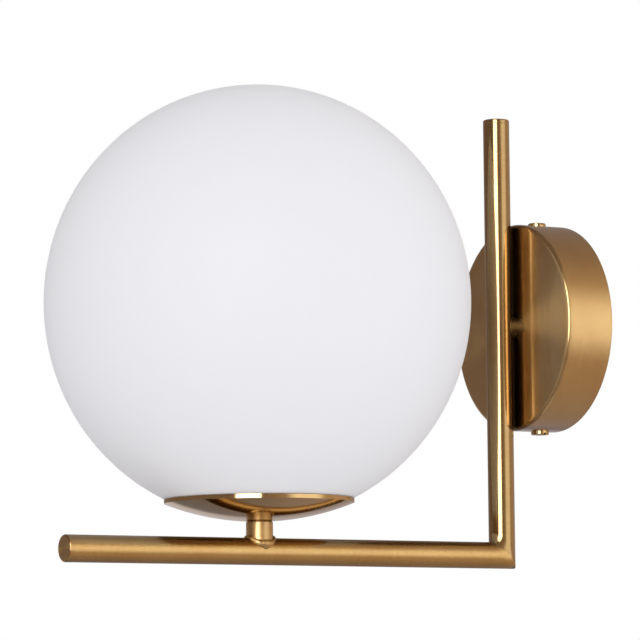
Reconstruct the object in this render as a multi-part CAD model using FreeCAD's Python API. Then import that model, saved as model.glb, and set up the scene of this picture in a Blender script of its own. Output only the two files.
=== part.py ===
import FreeCAD, Part
import math
import os

# Globe wall sconce, in millimetres. Every piece is written where it sits in the finished lamp.
# The wall is the plane y = 0, the lamp reaches out along -Y, and +Z is up. The origin is the
# centre of the wall bracket's back face, on the wall.

# Wall canopy
canopy_diameter = 100.0
canopy_depth = 25.0
canopy_wall = 1.2
canopy_edge_radius = 1.8

# Brass tube, the same stock for the post, the arm and the stem
tube_diameter = 12.7
tube_wall = 1.35
post_height_above_canopy_centre = 101.0
arm_axis_below_canopy_centre = 110.3
arm_reach = 268.0
stem_height = 7.65
stem_inset = 0.05
stem_flare_radius = 1.1
stem_edge_break = 0.6
end_cap_thickness = 2.0
end_cap_edge_radius = 0.8
end_cap_spigot = 4.0
post_stand_off = 0.9
saddle_diameter = 11.4

# Opal glass globe: a sphere that is a little taller than it is wide
globe_diameter = 200.0
globe_height = 204.4
globe_wall = 3.0
globe_axis_from_wall = 166.0
globe_edge_radius = 0.7
globe_to_lip_gap = 0.4
glass_seat_width = 3.5

# Polished dish under the globe
dish_diameter = 88.8
dish_depth = 10.4
dish_lip_height = 1.9
dish_wall = 1.0
gasket_width = 4.6

# Threaded hollow rods and their hardware
rod_diameter = 10.0
rod_bore = 7.0
rod_nut_across_flats = 14.0
rod_nut_thickness = 3.2
canopy_rod_inside = 11.0
canopy_washer_diameter = 24.0
canopy_washer_thickness = 1.4
lock_washer_diameter = 17.0
lock_washer_thickness = 0.9
lock_washer_teeth = 12
earth_tag_thickness = 0.8
earth_tag_width = 5.0
rod_depth_in_stem = 4.7
rod_depth_in_holder = 6.0

# Spring gallery that centres the glass
gallery_diameter = 44.0
gallery_thickness = 1.0
spring_count = 3
spring_width = 8.0
spring_thickness = 0.6
spring_height = 11.0
spring_bend_radius = 3.0
spring_lead_in = 3.6
spring_lead_height = 2.4
spring_to_glass_gap = 0.35
spring_to_dish_gap = 0.5
rivet_diameter = 2.4
rivet_head_diameter = 4.4
rivet_head_height = 0.9
rivet_radius_from_axis = 17.0

# Wall bracket
bracket_width = 16.0
bracket_thickness = 2.0
bracket_bend_radius = 1.2
bracket_ear_depth = 18.0
bracket_disc_diameter = 34.0
bracket_to_canopy_gap = 0.9
cable_hole_diameter = 16.0
wall_slot_spacing = 70.0
wall_slot_length = 12.0
wall_slot_width = 4.5

# Machine screws
side_screw_diameter = 4.0
side_screw_from_wall = 9.5
side_screw_length = 9.0
side_screw_head_diameter = 8.6
side_screw_head_height = 1.6
side_screw_head_sink = 1.0
side_screw_clearance = 0.25
screw_head_rounding = 0.35
slot_width = 1.1
slot_depth = 0.9
earth_screw_diameter = 4.0
earth_screw_head_diameter = 8.0
earth_screw_head_height = 2.4
earth_screw_height = 22.5
earth_washer_diameter = 10.0
earth_washer_thickness = 1.0

# Terminal block
block_width = 27.0
block_height = 14.0
block_depth = 12.0
block_pole_pitch = 9.0
block_pole_radius = 3.9
block_centre_below = 19.0
block_screw_diameter = 2.6
block_screw_head_diameter = 4.6
block_screw_head_height = 1.6
block_screw_head_gap = 0.3
terminal_screw_diameter = 3.0
terminal_hole_depth = 4.0

# Wires
wire_diameter = 2.2
wire_spread = 1.4
wire_hole_clearance = 0.2
wire_bend_at_canopy = 7.5
wire_bend_at_elbow = 11.0
wire_bend_at_stem = 8.5
wire_bend_free = 4.0
bush_wall = 0.7
bush_flange_diameter = 12.0
bush_flange_thickness = 1.4
bush_sleeve = 4.0

# Screw lampholder
holder_diameter = 38.0
holder_wall = 1.5
holder_cap_height = 18.0
holder_neck_diameter = 17.0
holder_flare_inset = 3.3
holder_flare_rise = 5.0
holder_skirt_height = 34.0
holder_mouth_diameter = 31.0
insulator_flange = 2.0
insulator_height = 9.0
insulator_side_gap = 0.5
thread_pitch = 3.6
thread_turns = 5
thread_depth = 0.6
lamp_cap_diameter = 26.2
lamp_cap_clearance = 0.1
screw_shell_wall = 0.4
contact_diameter = 8.0
contact_top_diameter = 4.0
contact_height = 3.0
holder_terminal_diameter = 5.2
holder_terminal_height = 2.2
holder_terminal_offset = 9.0
holder_wire_offset = 8.0

# Lamp
lamp_diameter = 60.0
lamp_length = 106.0
lamp_tip_diameter = 9.0
lamp_tip_height = 1.5
lamp_insulator_height = 3.5
lamp_collar_height = 26.0
lamp_waist_diameter = 54.0
lamp_collar_hollow = 2.0
lamp_diffuser_wall = 1.2

# Two points closer than this are one
same_place = 1e-4
# How far a cutter runs past the face that it opens
cut_beyond = 1.0

# Places that follow from the sizes above
tube_radius = tube_diameter / 2
bore_radius = tube_radius - tube_wall
rod_radius = rod_diameter / 2
rod_bore_radius = rod_bore / 2
canopy_radius = canopy_diameter / 2
canopy_inner_radius = canopy_radius - canopy_wall
canopy_inner_face = canopy_depth - canopy_wall
post_y = -(canopy_depth + post_stand_off + tube_radius)
arm_z = -arm_axis_below_canopy_centre
lamp_y = -globe_axis_from_wall
side_screw_y = -side_screw_from_wall

dish_radius = dish_diameter / 2
dish_bottom = arm_z + tube_radius + stem_height
dish_lip_top = dish_bottom + dish_depth
dish_sag = dish_depth - dish_lip_height
dish_sphere = (dish_radius ** 2 + dish_sag ** 2) / (2 * dish_sag)
dish_inner_sphere = dish_sphere - dish_wall
dish_sphere_centre = dish_bottom + dish_sphere
dish_floor = dish_bottom + dish_wall


def half_width(half_size, half_rise, rise):
    """Radius of an upright ellipse of the given half axes, at a height above its centre."""
    return half_size * math.sqrt(1 - (rise / half_rise) ** 2)


def dish_inside(radius):
    """Height of the dish's inner surface at a radius from its axis."""
    return dish_sphere_centre - math.sqrt(dish_inner_sphere ** 2 - radius ** 2)


def dish_outside(radius):
    """Height of the dish's underside at a radius from its axis."""
    return dish_sphere_centre - math.sqrt(dish_sphere ** 2 - radius ** 2)


globe_half_width = globe_diameter / 2
globe_half_height = globe_height / 2
globe_centre = dish_lip_top + globe_to_lip_gap + half_width(
    globe_half_height, globe_half_width, dish_radius)
glass_rim_radius = dish_radius - glass_seat_width
glass_rim = globe_centre - half_width(globe_half_height, globe_half_width, glass_rim_radius)
glass_mouth_radius = half_width(
    globe_half_width - globe_wall, globe_half_height - globe_wall, glass_rim - globe_centre)

gallery_bottom = dish_floor + rod_nut_thickness
gallery_top = gallery_bottom + gallery_thickness
holder_bottom = gallery_top
holder_radius = holder_diameter / 2
skirt_bottom = holder_bottom + holder_cap_height
skirt_top = skirt_bottom + holder_skirt_height
insulator_top = skirt_bottom + insulator_flange + insulator_height
lamp_bottom = insulator_top + contact_height
lamp_cap_bottom = lamp_bottom + lamp_tip_height + lamp_insulator_height
lamp_cap_top = lamp_cap_bottom + thread_pitch * thread_turns + lamp_cap_clearance
lamp_collar_top = lamp_cap_top + lamp_collar_height
lamp_top = lamp_bottom + lamp_length

block_centre_z = -block_centre_below
block_top_z = block_centre_z + block_height / 2
block_pole_y = -(bracket_thickness + block_depth - block_pole_radius)
washer_face = canopy_inner_face - canopy_washer_thickness
lock_face = washer_face - lock_washer_thickness
tag_face = lock_face - earth_tag_thickness
nut_face = tag_face - rod_nut_thickness
canopy_rod_end = canopy_inner_face - canopy_rod_inside


def vec(x, y, z):
    return FreeCAD.Vector(x, y, z)


UP = vec(0, 0, 1)
DOWN = vec(0, 0, -1)
TO_WALL = vec(0, 1, 0)
OUTWARD = vec(0, -1, 0)
ALONG_X = vec(1, 0, 0)
LAMP_FOOT = vec(0, lamp_y, 0)
POST_FOOT = vec(0, post_y, 0)
ELBOW = vec(0, post_y, arm_z)
TEE = vec(0, lamp_y, arm_z)


def rod(radius, start, direction, length):
    return Part.makeCylinder(radius, length, start, direction)


def outline(start, *steps):
    """Closed face in the XZ plane. A step is an end point, or a (point passed, end point) pair."""
    edges = []
    here = start
    for step in steps + (start,):
        curved = isinstance(step[0], tuple)
        end = step[1] if curved else step
        if curved:
            through = vec(step[0][0], 0, step[0][1])
            edges.append(Part.Arc(vec(here[0], 0, here[1]), through, vec(end[0], 0, end[1])).toShape())
        elif math.dist(here, end) > same_place:
            edges.append(Part.makeLine(vec(here[0], 0, here[1]), vec(end[0], 0, end[1])))
        here = end
    return Part.Face(Part.Wire(edges))


def turned(face, foot=vec(0, 0, 0)):
    """Solid turned from a face in the XZ plane about the vertical line through foot."""
    solid = face.revolve(vec(0, 0, 0), UP, 360)
    solid.translate(foot)
    return solid


def on_wall(shape):
    """Turn a shape so that its +Z points out of the wall."""
    shape.rotate(vec(0, 0, 0), ALONG_X, 90)
    return shape


def corner(centre, radius, degrees):
    """Point on a circle in an outline, for the middle of a rounded corner."""
    turn = math.radians(degrees)
    return (centre[0] + radius * math.cos(turn), centre[1] + radius * math.sin(turn))


def hexagon(across_flats, thickness, start, direction):
    radius = across_flats / math.sqrt(3)
    points = [vec(radius * math.cos(math.pi * i / 3), radius * math.sin(math.pi * i / 3), 0)
              for i in range(7)]
    solid = Part.Face(Part.makePolygon(points)).extrude(vec(0, 0, thickness))
    solid.Placement = FreeCAD.Placement(start, FreeCAD.Rotation(UP, direction))
    return solid


def ball(radius, z):
    return Part.makeSphere(radius, vec(0, lamp_y, z))


def box_about(centre, width, depth, height):
    return Part.makeBox(width, depth, height, centre - vec(width / 2, depth / 2, height / 2))


def screw_slot(centre, axis, across, depth):
    """Cutter for a straight slot in a screw head whose top is at centre."""
    reach = 2 * across
    cutter = Part.makeBox(reach, slot_width, 2 * depth, vec(-reach / 2, -slot_width / 2, -depth))
    cutter.Placement = FreeCAD.Placement(centre, FreeCAD.Rotation(UP, axis))
    return cutter


def mitre_side(keep_post):
    """Half space on one side of the elbow's 45 degree joint."""
    size = 4 * (arm_reach + post_height_above_canopy_centre)
    block = Part.makeBox(size, size, size, vec(-size / 2, -size / 2, 0 if keep_post else -size))
    block.rotate(vec(0, 0, 0), ALONG_X, -45)
    block.translate(ELBOW)
    return block


def bent_path(points, bends):
    """Line through points; each inner point is an arc of the given bend radius."""
    edges = []
    here = points[0]
    for index, bend in enumerate(bends):
        before, at, after = points[index:index + 3]
        to_before = (before - at).normalize()
        to_after = (after - at).normalize()
        half_turn = to_before.getAngle(to_after) / 2
        cut_back = bend / math.tan(half_turn)
        start = at + to_before * cut_back
        end = at + to_after * cut_back
        inward = (to_before + to_after).normalize()
        middle = at + inward * (bend / math.sin(half_turn) - bend)
        if here.distanceToPoint(start) > same_place:
            edges.append(Part.LineSegment(here, start).toShape())
        edges.append(Part.Arc(start, middle, end).toShape())
        here = end
    edges.append(Part.LineSegment(here, points[-1]).toShape())
    return Part.Wire(edges)


def wire_run(radius, points, bends):
    """Round wire along a bent path."""
    first = (points[1] - points[0]).normalize()
    section = Part.Wire(Part.makeCircle(radius, points[0], first))
    return bent_path(points, bends).makePipeShell([section], True, False)


# Wall side: bracket, canopy and what is inside it

def wall_bracket():
    """Strap on the wall, with its two ends bent out as ears for the canopy's side screws."""
    ear_z = canopy_inner_radius - bracket_to_canopy_gap
    outer = bracket_bend_radius + bracket_thickness
    inner = bracket_bend_radius
    far = ear_z - bracket_thickness
    bend = (ear_z - outer, outer)
    mirror_bend = (-bend[0], bend[1])
    # The outline's x is the height on the wall and its z the distance from the wall.
    section = outline(
        (-bend[0], 0), (bend[0], 0),
        (corner(bend, outer, -45), (ear_z, outer)),
        (ear_z, bracket_ear_depth), (far, bracket_ear_depth), (far, outer),
        (corner(bend, inner, -45), (bend[0], bracket_thickness)),
        (-bend[0], bracket_thickness),
        (corner(mirror_bend, inner, -135), (-far, outer)),
        (-far, bracket_ear_depth), (-ear_z, bracket_ear_depth), (-ear_z, outer),
        (corner(mirror_bend, outer, -135), (-bend[0], 0)))
    strap = section.extrude(vec(0, bracket_width, 0))
    strap.translate(vec(0, -bracket_width / 2, 0))
    strap.rotate(vec(0, 0, 0), UP, 90)
    strap = on_wall(strap)
    disc = rod(bracket_disc_diameter / 2, vec(0, 0, 0), OUTWARD, bracket_thickness)
    strap = strap.fuse(disc).removeSplitter()
    through = bracket_thickness + 2 * cut_beyond
    cuts = [rod(cable_hole_diameter / 2, vec(0, cut_beyond, 0), OUTWARD, through)]
    for side in (-1, 1):
        cuts.append(wall_slot(side * wall_slot_spacing / 2))
        cuts.append(rod(side_screw_diameter / 2, vec(0, side_screw_y, 0), UP * side, canopy_radius))
    for height, diameter in ((earth_screw_height, earth_screw_diameter),
                             (block_centre_z, block_screw_diameter)):
        cuts.append(rod(diameter / 2, vec(0, cut_beyond, height), OUTWARD, through))
    return strap.cut(Part.makeCompound(cuts))


def wall_slot(height):
    """Cutter for one upright slot through the bracket."""
    radius = wall_slot_width / 2
    straight = wall_slot_length - wall_slot_width
    through = bracket_thickness + 2 * cut_beyond
    middle = box_about(vec(0, cut_beyond - through / 2, height), wall_slot_width, through, straight)
    ends = [rod(radius, vec(0, cut_beyond, height + side * straight / 2), OUTWARD, through)
            for side in (-1, 1)]
    return middle.fuse(ends)


def canopy():
    """Spun cup, open to the wall, with a rounded front edge."""
    radius = canopy_radius
    inside = canopy_inner_radius
    edge = canopy_edge_radius
    inner_edge = edge - canopy_wall
    outer_centre = (radius - edge, canopy_depth - edge)
    inner_centre = (inside - inner_edge, canopy_inner_face - inner_edge)
    face = outline(
        (inside, 0), (radius, 0), (radius, canopy_depth - edge),
        (corner(outer_centre, edge, 45), (radius - edge, canopy_depth)),
        (rod_radius, canopy_depth), (rod_radius, canopy_inner_face),
        (inside - inner_edge, canopy_inner_face),
        (corner(inner_centre, inner_edge, 45), (inside, canopy_inner_face - inner_edge)))
    cup = on_wall(turned(face))
    hole = side_screw_diameter / 2 + side_screw_clearance
    holes = [rod(hole, vec(0, side_screw_y, 0), UP * side, 2 * radius) for side in (-1, 1)]
    return cup.cut(Part.makeCompound(holes))


def side_screws():
    """Two slotted cheese-head screws, through the canopy's rim into the bracket's ears."""
    rim = rod(canopy_radius, vec(0, 0, 0), OUTWARD, canopy_depth)
    screws = []
    for side in (-1, 1):
        axis = UP * side
        seat = vec(0, side_screw_y, 0) + axis * canopy_radius
        head = cheese_head(side_screw_head_diameter, side_screw_head_height, side_screw_head_sink,
                           seat, axis)
        shank = rod(side_screw_diameter / 2, seat, axis * -1, side_screw_length)
        top = seat + axis * side_screw_head_height
        slot = screw_slot(top, axis, side_screw_head_diameter, slot_depth)
        screws.append(head.cut(rim).fuse(shank).removeSplitter().cut(slot))
    return screws


def cheese_head(diameter, height, skirt, seat, axis):
    """Screw head with a rounded top edge; it reaches skirt below its seat."""
    radius = diameter / 2
    edge = height * screw_head_rounding
    centre = (radius - edge, height - edge)
    face = outline((0, -skirt), (radius, -skirt), (radius, height - edge),
                   (corner(centre, edge, 45), (radius - edge, height)), (0, height))
    head = turned(face)
    head.Placement = FreeCAD.Placement(seat, FreeCAD.Rotation(UP, axis))
    return head


def canopy_rod():
    """Hollow threaded rod, brazed through the post's wall and run into the canopy."""
    post_end = -post_y - bore_radius
    length = post_end - canopy_rod_end
    start = vec(0, -canopy_rod_end, 0)
    solid = rod(rod_radius, start, OUTWARD, length).cut(rod(rod_bore_radius, start, OUTWARD, length))
    return solid.cut(rod(bore_radius, POST_FOOT - UP * tube_diameter, UP, 2 * tube_diameter))


def rod_ring(diameter, face, thickness):
    """Ring on the canopy's threaded rod; face is the distance of its wall side from the wall."""
    start = vec(0, -face, 0)
    return rod(diameter / 2, start, OUTWARD, thickness).cut(rod(rod_radius, start, OUTWARD, thickness))


def lock_washer():
    """Toothed ring under the nut."""
    ring = rod_ring(lock_washer_diameter, lock_face, lock_washer_thickness)
    notch = lock_washer_diameter * math.pi / lock_washer_teeth / 2
    depth = (lock_washer_diameter - rod_nut_across_flats) / 2
    cuts = []
    for i in range(lock_washer_teeth):
        cutter = box_about(vec(lock_washer_diameter / 2, -lock_face, 0), 2 * depth, 4 * lock_washer_thickness,
                           notch)
        cutter.rotate(vec(0, 0, 0), TO_WALL, 360 * i / lock_washer_teeth)
        cuts.append(cutter)
    return ring.cut(Part.makeCompound(cuts))


def earth_tag():
    """Ring tag on the rod, with a tongue that takes the earth lead."""
    start = vec(0, -tag_face, 0)
    ring = rod(rod_nut_across_flats / 2, start, OUTWARD, earth_tag_thickness)
    reach = -block_top_z
    tongue = Part.makeBox(earth_tag_width, earth_tag_thickness, reach,
                          vec(-earth_tag_width / 2, -tag_face - earth_tag_thickness, -reach))
    return ring.fuse(tongue).removeSplitter().cut(rod(rod_radius, start, OUTWARD, earth_tag_thickness))


def rod_nut(start, direction):
    """Hexagon nut with chamfered corners, threaded for the hollow rod."""
    nut = hexagon(rod_nut_across_flats, rod_nut_thickness, start, direction)
    corner_radius = rod_nut_across_flats / math.sqrt(3)
    edge = corner_radius - rod_nut_across_flats / 2
    face = outline((0, 0), (corner_radius - edge, 0), (corner_radius, edge / 2),
                   (corner_radius, rod_nut_thickness - edge / 2),
                   (corner_radius - edge, rod_nut_thickness), (0, rod_nut_thickness))
    barrel = turned(face)
    barrel.Placement = FreeCAD.Placement(start, FreeCAD.Rotation(UP, direction))
    return nut.common(barrel).cut(rod(rod_radius, start, direction, rod_nut_thickness))


def rod_bush():
    """Flanged plastic bush that keeps the wires off the rod's sharp end."""
    hole = rod_bore_radius - bush_wall
    end = vec(0, -canopy_rod_end, 0)
    flange = rod(bush_flange_diameter / 2, end, TO_WALL, bush_flange_thickness)
    sleeve = rod(rod_bore_radius, end, OUTWARD, bush_sleeve)
    start = end + TO_WALL * bush_flange_thickness
    return flange.fuse(sleeve).cut(rod(hole, start, OUTWARD, bush_flange_thickness + bush_sleeve))


def pole_places():
    """Sideways places of the terminal block's three poles."""
    return [block_pole_pitch * i for i in (-1, 0, 1)]


def terminal_block():
    """Three-pole block on the bracket, with a round barrel for each pole."""
    base_depth = block_depth - block_pole_radius
    base = Part.makeBox(block_width, base_depth, block_height,
                        vec(-block_width / 2, -bracket_thickness - base_depth,
                            block_centre_z - block_height / 2))
    foot = block_centre_z - block_height / 2
    barrels = [rod(block_pole_radius, vec(x, block_pole_y, foot), UP, block_height) for x in pole_places()]
    body = base.fuse(barrels).removeSplitter()
    wire_hole = wire_diameter / 2 + wire_hole_clearance
    cuts = []
    for x in pole_places():
        cuts.append(rod(wire_hole, vec(x, block_pole_y, block_top_z), DOWN, terminal_hole_depth))
        cuts.append(rod(wire_hole, vec(x, block_pole_y, foot), UP, terminal_hole_depth))
        for z in terminal_heights():
            cuts.append(rod(terminal_screw_diameter / 2, vec(x, -bracket_thickness - block_depth, z),
                            TO_WALL, terminal_screw_depth()))
    return body.cut(Part.makeCompound(cuts + [block_screw_space()]))


def terminal_heights():
    """Heights of the two rows of terminal screws."""
    inset = terminal_hole_depth / 2
    half = block_height / 2
    return [block_centre_z + side * (half - inset) for side in (-1, 1)]


def terminal_screw_depth():
    """Depth of a terminal screw's hole: down to the wire."""
    return block_pole_radius - wire_diameter / 2


def terminal_screws():
    """Six slotted grub screws, two on each pole."""
    screws = []
    length = terminal_screw_depth()
    for x in pole_places():
        for z in terminal_heights():
            top = vec(x, -bracket_thickness - block_depth, z)
            grub = rod(terminal_screw_diameter / 2, top + TO_WALL * slot_depth / 2, TO_WALL,
                       length - slot_depth / 2)
            screws.append(grub.cut(screw_slot(top + TO_WALL * slot_depth / 2, OUTWARD,
                                              terminal_screw_diameter, slot_depth)))
    return screws


def block_screw_seat():
    """Distance from the wall to the underside of the block screw's head."""
    return bracket_thickness + block_depth - block_screw_head_height - block_screw_head_gap


def block_screw_space():
    """Hole and counterbore for the screw that holds the block, through its middle pole."""
    top = vec(0, -bracket_thickness - block_depth, block_centre_z)
    hole = rod(block_screw_diameter / 2, top, TO_WALL, block_depth)
    head_space = block_screw_head_diameter / 2 + block_screw_head_gap
    recess = rod(head_space, top, TO_WALL, bracket_thickness + block_depth - block_screw_seat())
    return hole.fuse(recess)


def block_screw():
    """Slotted screw that holds the terminal block to the bracket."""
    seat = vec(0, -block_screw_seat(), block_centre_z)
    head = cheese_head(block_screw_head_diameter, block_screw_head_height, 0, seat, OUTWARD)
    shank = rod(block_screw_diameter / 2, seat, TO_WALL, block_screw_seat())
    top = seat + OUTWARD * block_screw_head_height
    slot = screw_slot(top, OUTWARD, block_screw_head_diameter, slot_depth)
    return head.fuse(shank).removeSplitter().cut(slot)


def earth_screw():
    """Slotted screw on the bracket for the house's earth wire."""
    seat = vec(0, -bracket_thickness - earth_washer_thickness, earth_screw_height)
    head = cheese_head(earth_screw_head_diameter, earth_screw_head_height, 0, seat, OUTWARD)
    shank = rod(earth_screw_diameter / 2, seat, TO_WALL, bracket_thickness + earth_washer_thickness)
    top = seat + OUTWARD * earth_screw_head_height
    slot = screw_slot(top, OUTWARD, earth_screw_head_diameter, slot_depth)
    return head.fuse(shank).removeSplitter().cut(slot)


def earth_washer():
    """Flat washer under the earth screw."""
    start = vec(0, -bracket_thickness, earth_screw_height)
    return rod(earth_washer_diameter / 2, start, OUTWARD, earth_washer_thickness).cut(
        rod(earth_screw_diameter / 2, start, OUTWARD, earth_washer_thickness))


# Brass tubes

def post_saddle():
    """Short collar between the canopy and the post, hollowed to fit the round tube."""
    length = -post_y - canopy_depth
    start = vec(0, -canopy_depth, 0)
    collar = rod(saddle_diameter / 2, start, OUTWARD, length).cut(rod(rod_radius, start, OUTWARD, length))
    return collar.cut(rod(tube_radius, POST_FOOT - UP * tube_diameter, UP, 2 * tube_diameter))


def post():
    """Upright tube, mitred at its foot, with a hole in its back for the threaded rod."""
    foot = ELBOW - UP * tube_diameter
    top = post_height_above_canopy_centre - end_cap_thickness
    length = top - foot.z
    solid = rod(tube_radius, foot, UP, length).common(mitre_side(True))
    solid = solid.cut(rod(bore_radius, foot, UP, length))
    return solid.cut(rod(rod_radius, POST_FOOT, TO_WALL, tube_diameter))


def arm():
    """Level tube, mitred at the post and drilled under the stem."""
    start = ELBOW - OUTWARD * tube_diameter
    length = arm_reach - end_cap_thickness + start.y
    solid = rod(tube_radius, start, OUTWARD, length).common(mitre_side(False))
    solid = solid.cut(rod(bore_radius, start, OUTWARD, length))
    return solid.cut(rod(bore_radius, TEE, UP, tube_diameter))


def tube_cap(place, direction):
    """Turned plug with a rounded edge, pushed into the end of a tube."""
    edge = end_cap_edge_radius
    centre = (tube_radius - edge, end_cap_thickness - edge)
    face = outline((0, -end_cap_spigot), (bore_radius, -end_cap_spigot), (bore_radius, 0),
                   (tube_radius, 0), (tube_radius, end_cap_thickness - edge),
                   (corner(centre, edge, 45), (tube_radius - edge, end_cap_thickness)),
                   (0, end_cap_thickness))
    cap = turned(face)
    cap.Placement = FreeCAD.Placement(place, FreeCAD.Rotation(UP, direction))
    return cap


def post_cap():
    return tube_cap(POST_FOOT + UP * (post_height_above_canopy_centre - end_cap_thickness), UP)


def arm_cap():
    return tube_cap(vec(0, -arm_reach + end_cap_thickness, arm_z), OUTWARD)


def stem():
    """Short tube brazed across the arm with a small flare. Its top is hollowed for the round dish,
    with the outer edge broken."""
    length = dish_bottom + dish_sag - arm_z
    radius = tube_radius - stem_inset
    top = dish_outside(radius)
    edge = turned(outline((radius - stem_edge_break, top), (radius, top - stem_edge_break),
                          (tube_diameter, top - stem_edge_break), (tube_diameter, top)), LAMP_FOOT)
    across = rod(tube_radius, TEE - OUTWARD * tube_diameter, OUTWARD, 2 * tube_diameter)
    cross = across.fuse(rod(radius, TEE, UP, length)).removeSplitter()
    saddle = [seam for seam in cross.Edges if isinstance(seam.Curve, Part.BSplineCurve)]
    flared = cross.makeFillet(stem_flare_radius, saddle)
    return flared.cut(across).cut(rod(bore_radius, TEE, UP, length)).cut(
        ball(dish_sphere, dish_sphere_centre)).cut(edge)


# Dish and glass

def dish():
    """Polished shallow cup: a part of a sphere with a short upright lip cut to the glass's slope."""
    radius = dish_radius
    inside = radius - dish_wall
    slope = globe_surface(inside) - globe_surface(radius)
    middle = radius / 2
    face = outline((0, dish_bottom), ((middle, dish_outside(middle)), (radius, dish_outside(radius))),
                   (radius, dish_lip_top), (inside, dish_lip_top + slope), (inside, dish_inside(inside)),
                   ((middle, dish_inside(middle)), (0, dish_floor)))
    cup = turned(face, LAMP_FOOT)
    return cup.cut(rod(rod_radius, LAMP_FOOT + UP * (dish_bottom - cut_beyond), UP, dish_depth))


def globe_surface(radius):
    """Height of the glass's lower outer surface at a radius from its axis."""
    return globe_centre - half_width(globe_half_height, globe_half_width, radius)


def stem_rod():
    """Hollow threaded rod that clamps the dish and the lampholder to the stem."""
    start = LAMP_FOOT + UP * (dish_bottom - rod_depth_in_stem)
    length = holder_bottom + rod_depth_in_holder - start.z
    return rod(rod_radius, start, UP, length).cut(rod(rod_bore_radius, start, UP, length))


def dish_nut():
    """Nut that holds the dish, shaped underneath to the dish's round floor."""
    skirt = dish_wall
    nut = rod_nut(LAMP_FOOT + UP * dish_floor, UP)
    below = hexagon(rod_nut_across_flats, skirt, LAMP_FOOT + UP * (dish_floor - skirt), UP)
    corner_radius = rod_nut_across_flats / math.sqrt(3)
    rise = dish_inside(corner_radius) - dish_floor
    trim = rod(rod_nut_across_flats, LAMP_FOOT + UP * (dish_floor - skirt), UP, skirt + rise)
    body = nut.fuse(below.cut(rod(rod_radius, LAMP_FOOT + UP * (dish_floor - skirt), UP, skirt)))
    return body.cut(trim).fuse(body.common(trim).common(ball(dish_inner_sphere, dish_sphere_centre)))


def gasket():
    """Soft ring under the glass; its underside follows the dish's floor."""
    inner = glass_rim_radius - gasket_width
    low = dish_floor
    ring = rod(glass_rim_radius, LAMP_FOOT + UP * low, UP, glass_rim - low)
    ring = ring.cut(rod(inner, LAMP_FOOT + UP * low, UP, glass_rim - low))
    return ring.common(ball(dish_inner_sphere, dish_sphere_centre))


def ellipse_part(half_x, half_z, low_radius, low_z):
    """Edge from the top of an upright ellipse about the globe's centre down to a low point."""
    centre = vec(0, 0, globe_centre)
    top = centre + UP * half_z
    if half_z >= half_x:
        curve = Part.Ellipse(top, centre + ALONG_X * half_x, centre)
    else:
        curve = Part.Ellipse(centre - ALONG_X * half_x, top, centre)
    first = curve.parameter(top)
    last = curve.parameter(vec(low_radius, 0, low_z))
    return Part.ArcOfEllipse(curve, first, last).toBSpline().toShape()


def globe():
    """Blown opal glass, ground flat round its mouth."""
    outer = ellipse_part(globe_half_width, globe_half_height, glass_rim_radius, glass_rim)
    inner = ellipse_part(globe_half_width - globe_wall, globe_half_height - globe_wall,
                         glass_mouth_radius, glass_rim)
    top = globe_centre + globe_half_height
    pole = Part.makeLine(vec(0, 0, top), vec(0, 0, top - globe_wall))
    rim = Part.makeLine(vec(glass_rim_radius, 0, glass_rim), vec(glass_mouth_radius, 0, glass_rim))
    wire = Part.Wire(Part.__sortEdges__([outer, rim, inner, pole]))
    shell = turned(Part.Face(wire), LAMP_FOOT)
    rims = [edge for edge in shell.Edges
            if max(abs(edge.BoundBox.ZMax - glass_rim), edge.BoundBox.ZLength) < same_place]
    return shell.makeFillet(globe_edge_radius, rims)


def spring_gallery():
    """Round plate that carries the glass springs."""
    start = LAMP_FOOT + UP * gallery_bottom
    plate = rod(gallery_diameter / 2, start, UP, gallery_thickness)
    cuts = [rod(rod_radius, start, UP, gallery_thickness)]
    for turn in spring_turns():
        hole = rod(rivet_diameter / 2, start + ALONG_X * rivet_radius_from_axis, UP, gallery_thickness)
        hole.rotate(LAMP_FOOT, UP, turn)
        cuts.append(hole)
    return plate.cut(Part.makeCompound(cuts))


def spring_turns():
    """Turns of the springs about the globe's axis; one points away from the wall."""
    return [360 * i / spring_count - 90 for i in range(spring_count)]


def mouth_clear_radius():
    """Radius that the glass's mouth leaves free, measured on the glass with its edge rounded."""
    start = LAMP_FOOT + UP * glass_rim
    return Part.makeLine(start, start + UP * glass_seat_width).distToShape(globe())[0]


def glass_springs():
    """Bent leaf springs: flat on the gallery, then up inside the glass and in again at the top."""
    # A leaf is flat across its width, so its two corners are what comes nearest to the glass.
    corner_radius = mouth_clear_radius() - spring_to_glass_gap
    outside = math.sqrt(corner_radius ** 2 - (spring_width / 2) ** 2)
    top = gallery_top + spring_height
    points = [
        vec(rivet_radius_from_axis - spring_width / 2, 0, gallery_top),
        vec(gallery_diameter / 2, 0, gallery_top),
        vec(outside, 0, dish_inside(outside) + spring_to_dish_gap),
        vec(outside, 0, top - spring_lead_height),
        vec(outside - spring_lead_in, 0, top),
    ]
    path = bent_path(points, [spring_bend_radius] * 3)
    leaf = path.makeOffset2D(spring_thickness, fill=True, openResult=True).extrude(vec(0, spring_width, 0))
    leaf.translate(vec(0, -spring_width / 2, 0) + LAMP_FOOT)
    leaf = leaf.cut(rod(rivet_diameter / 2, LAMP_FOOT + vec(rivet_radius_from_axis, 0, gallery_top), UP,
                        spring_thickness))
    leaves = []
    for turn in spring_turns():
        copy = leaf.copy()
        copy.rotate(LAMP_FOOT, UP, turn)
        leaves.append(copy)
    return leaves


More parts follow.
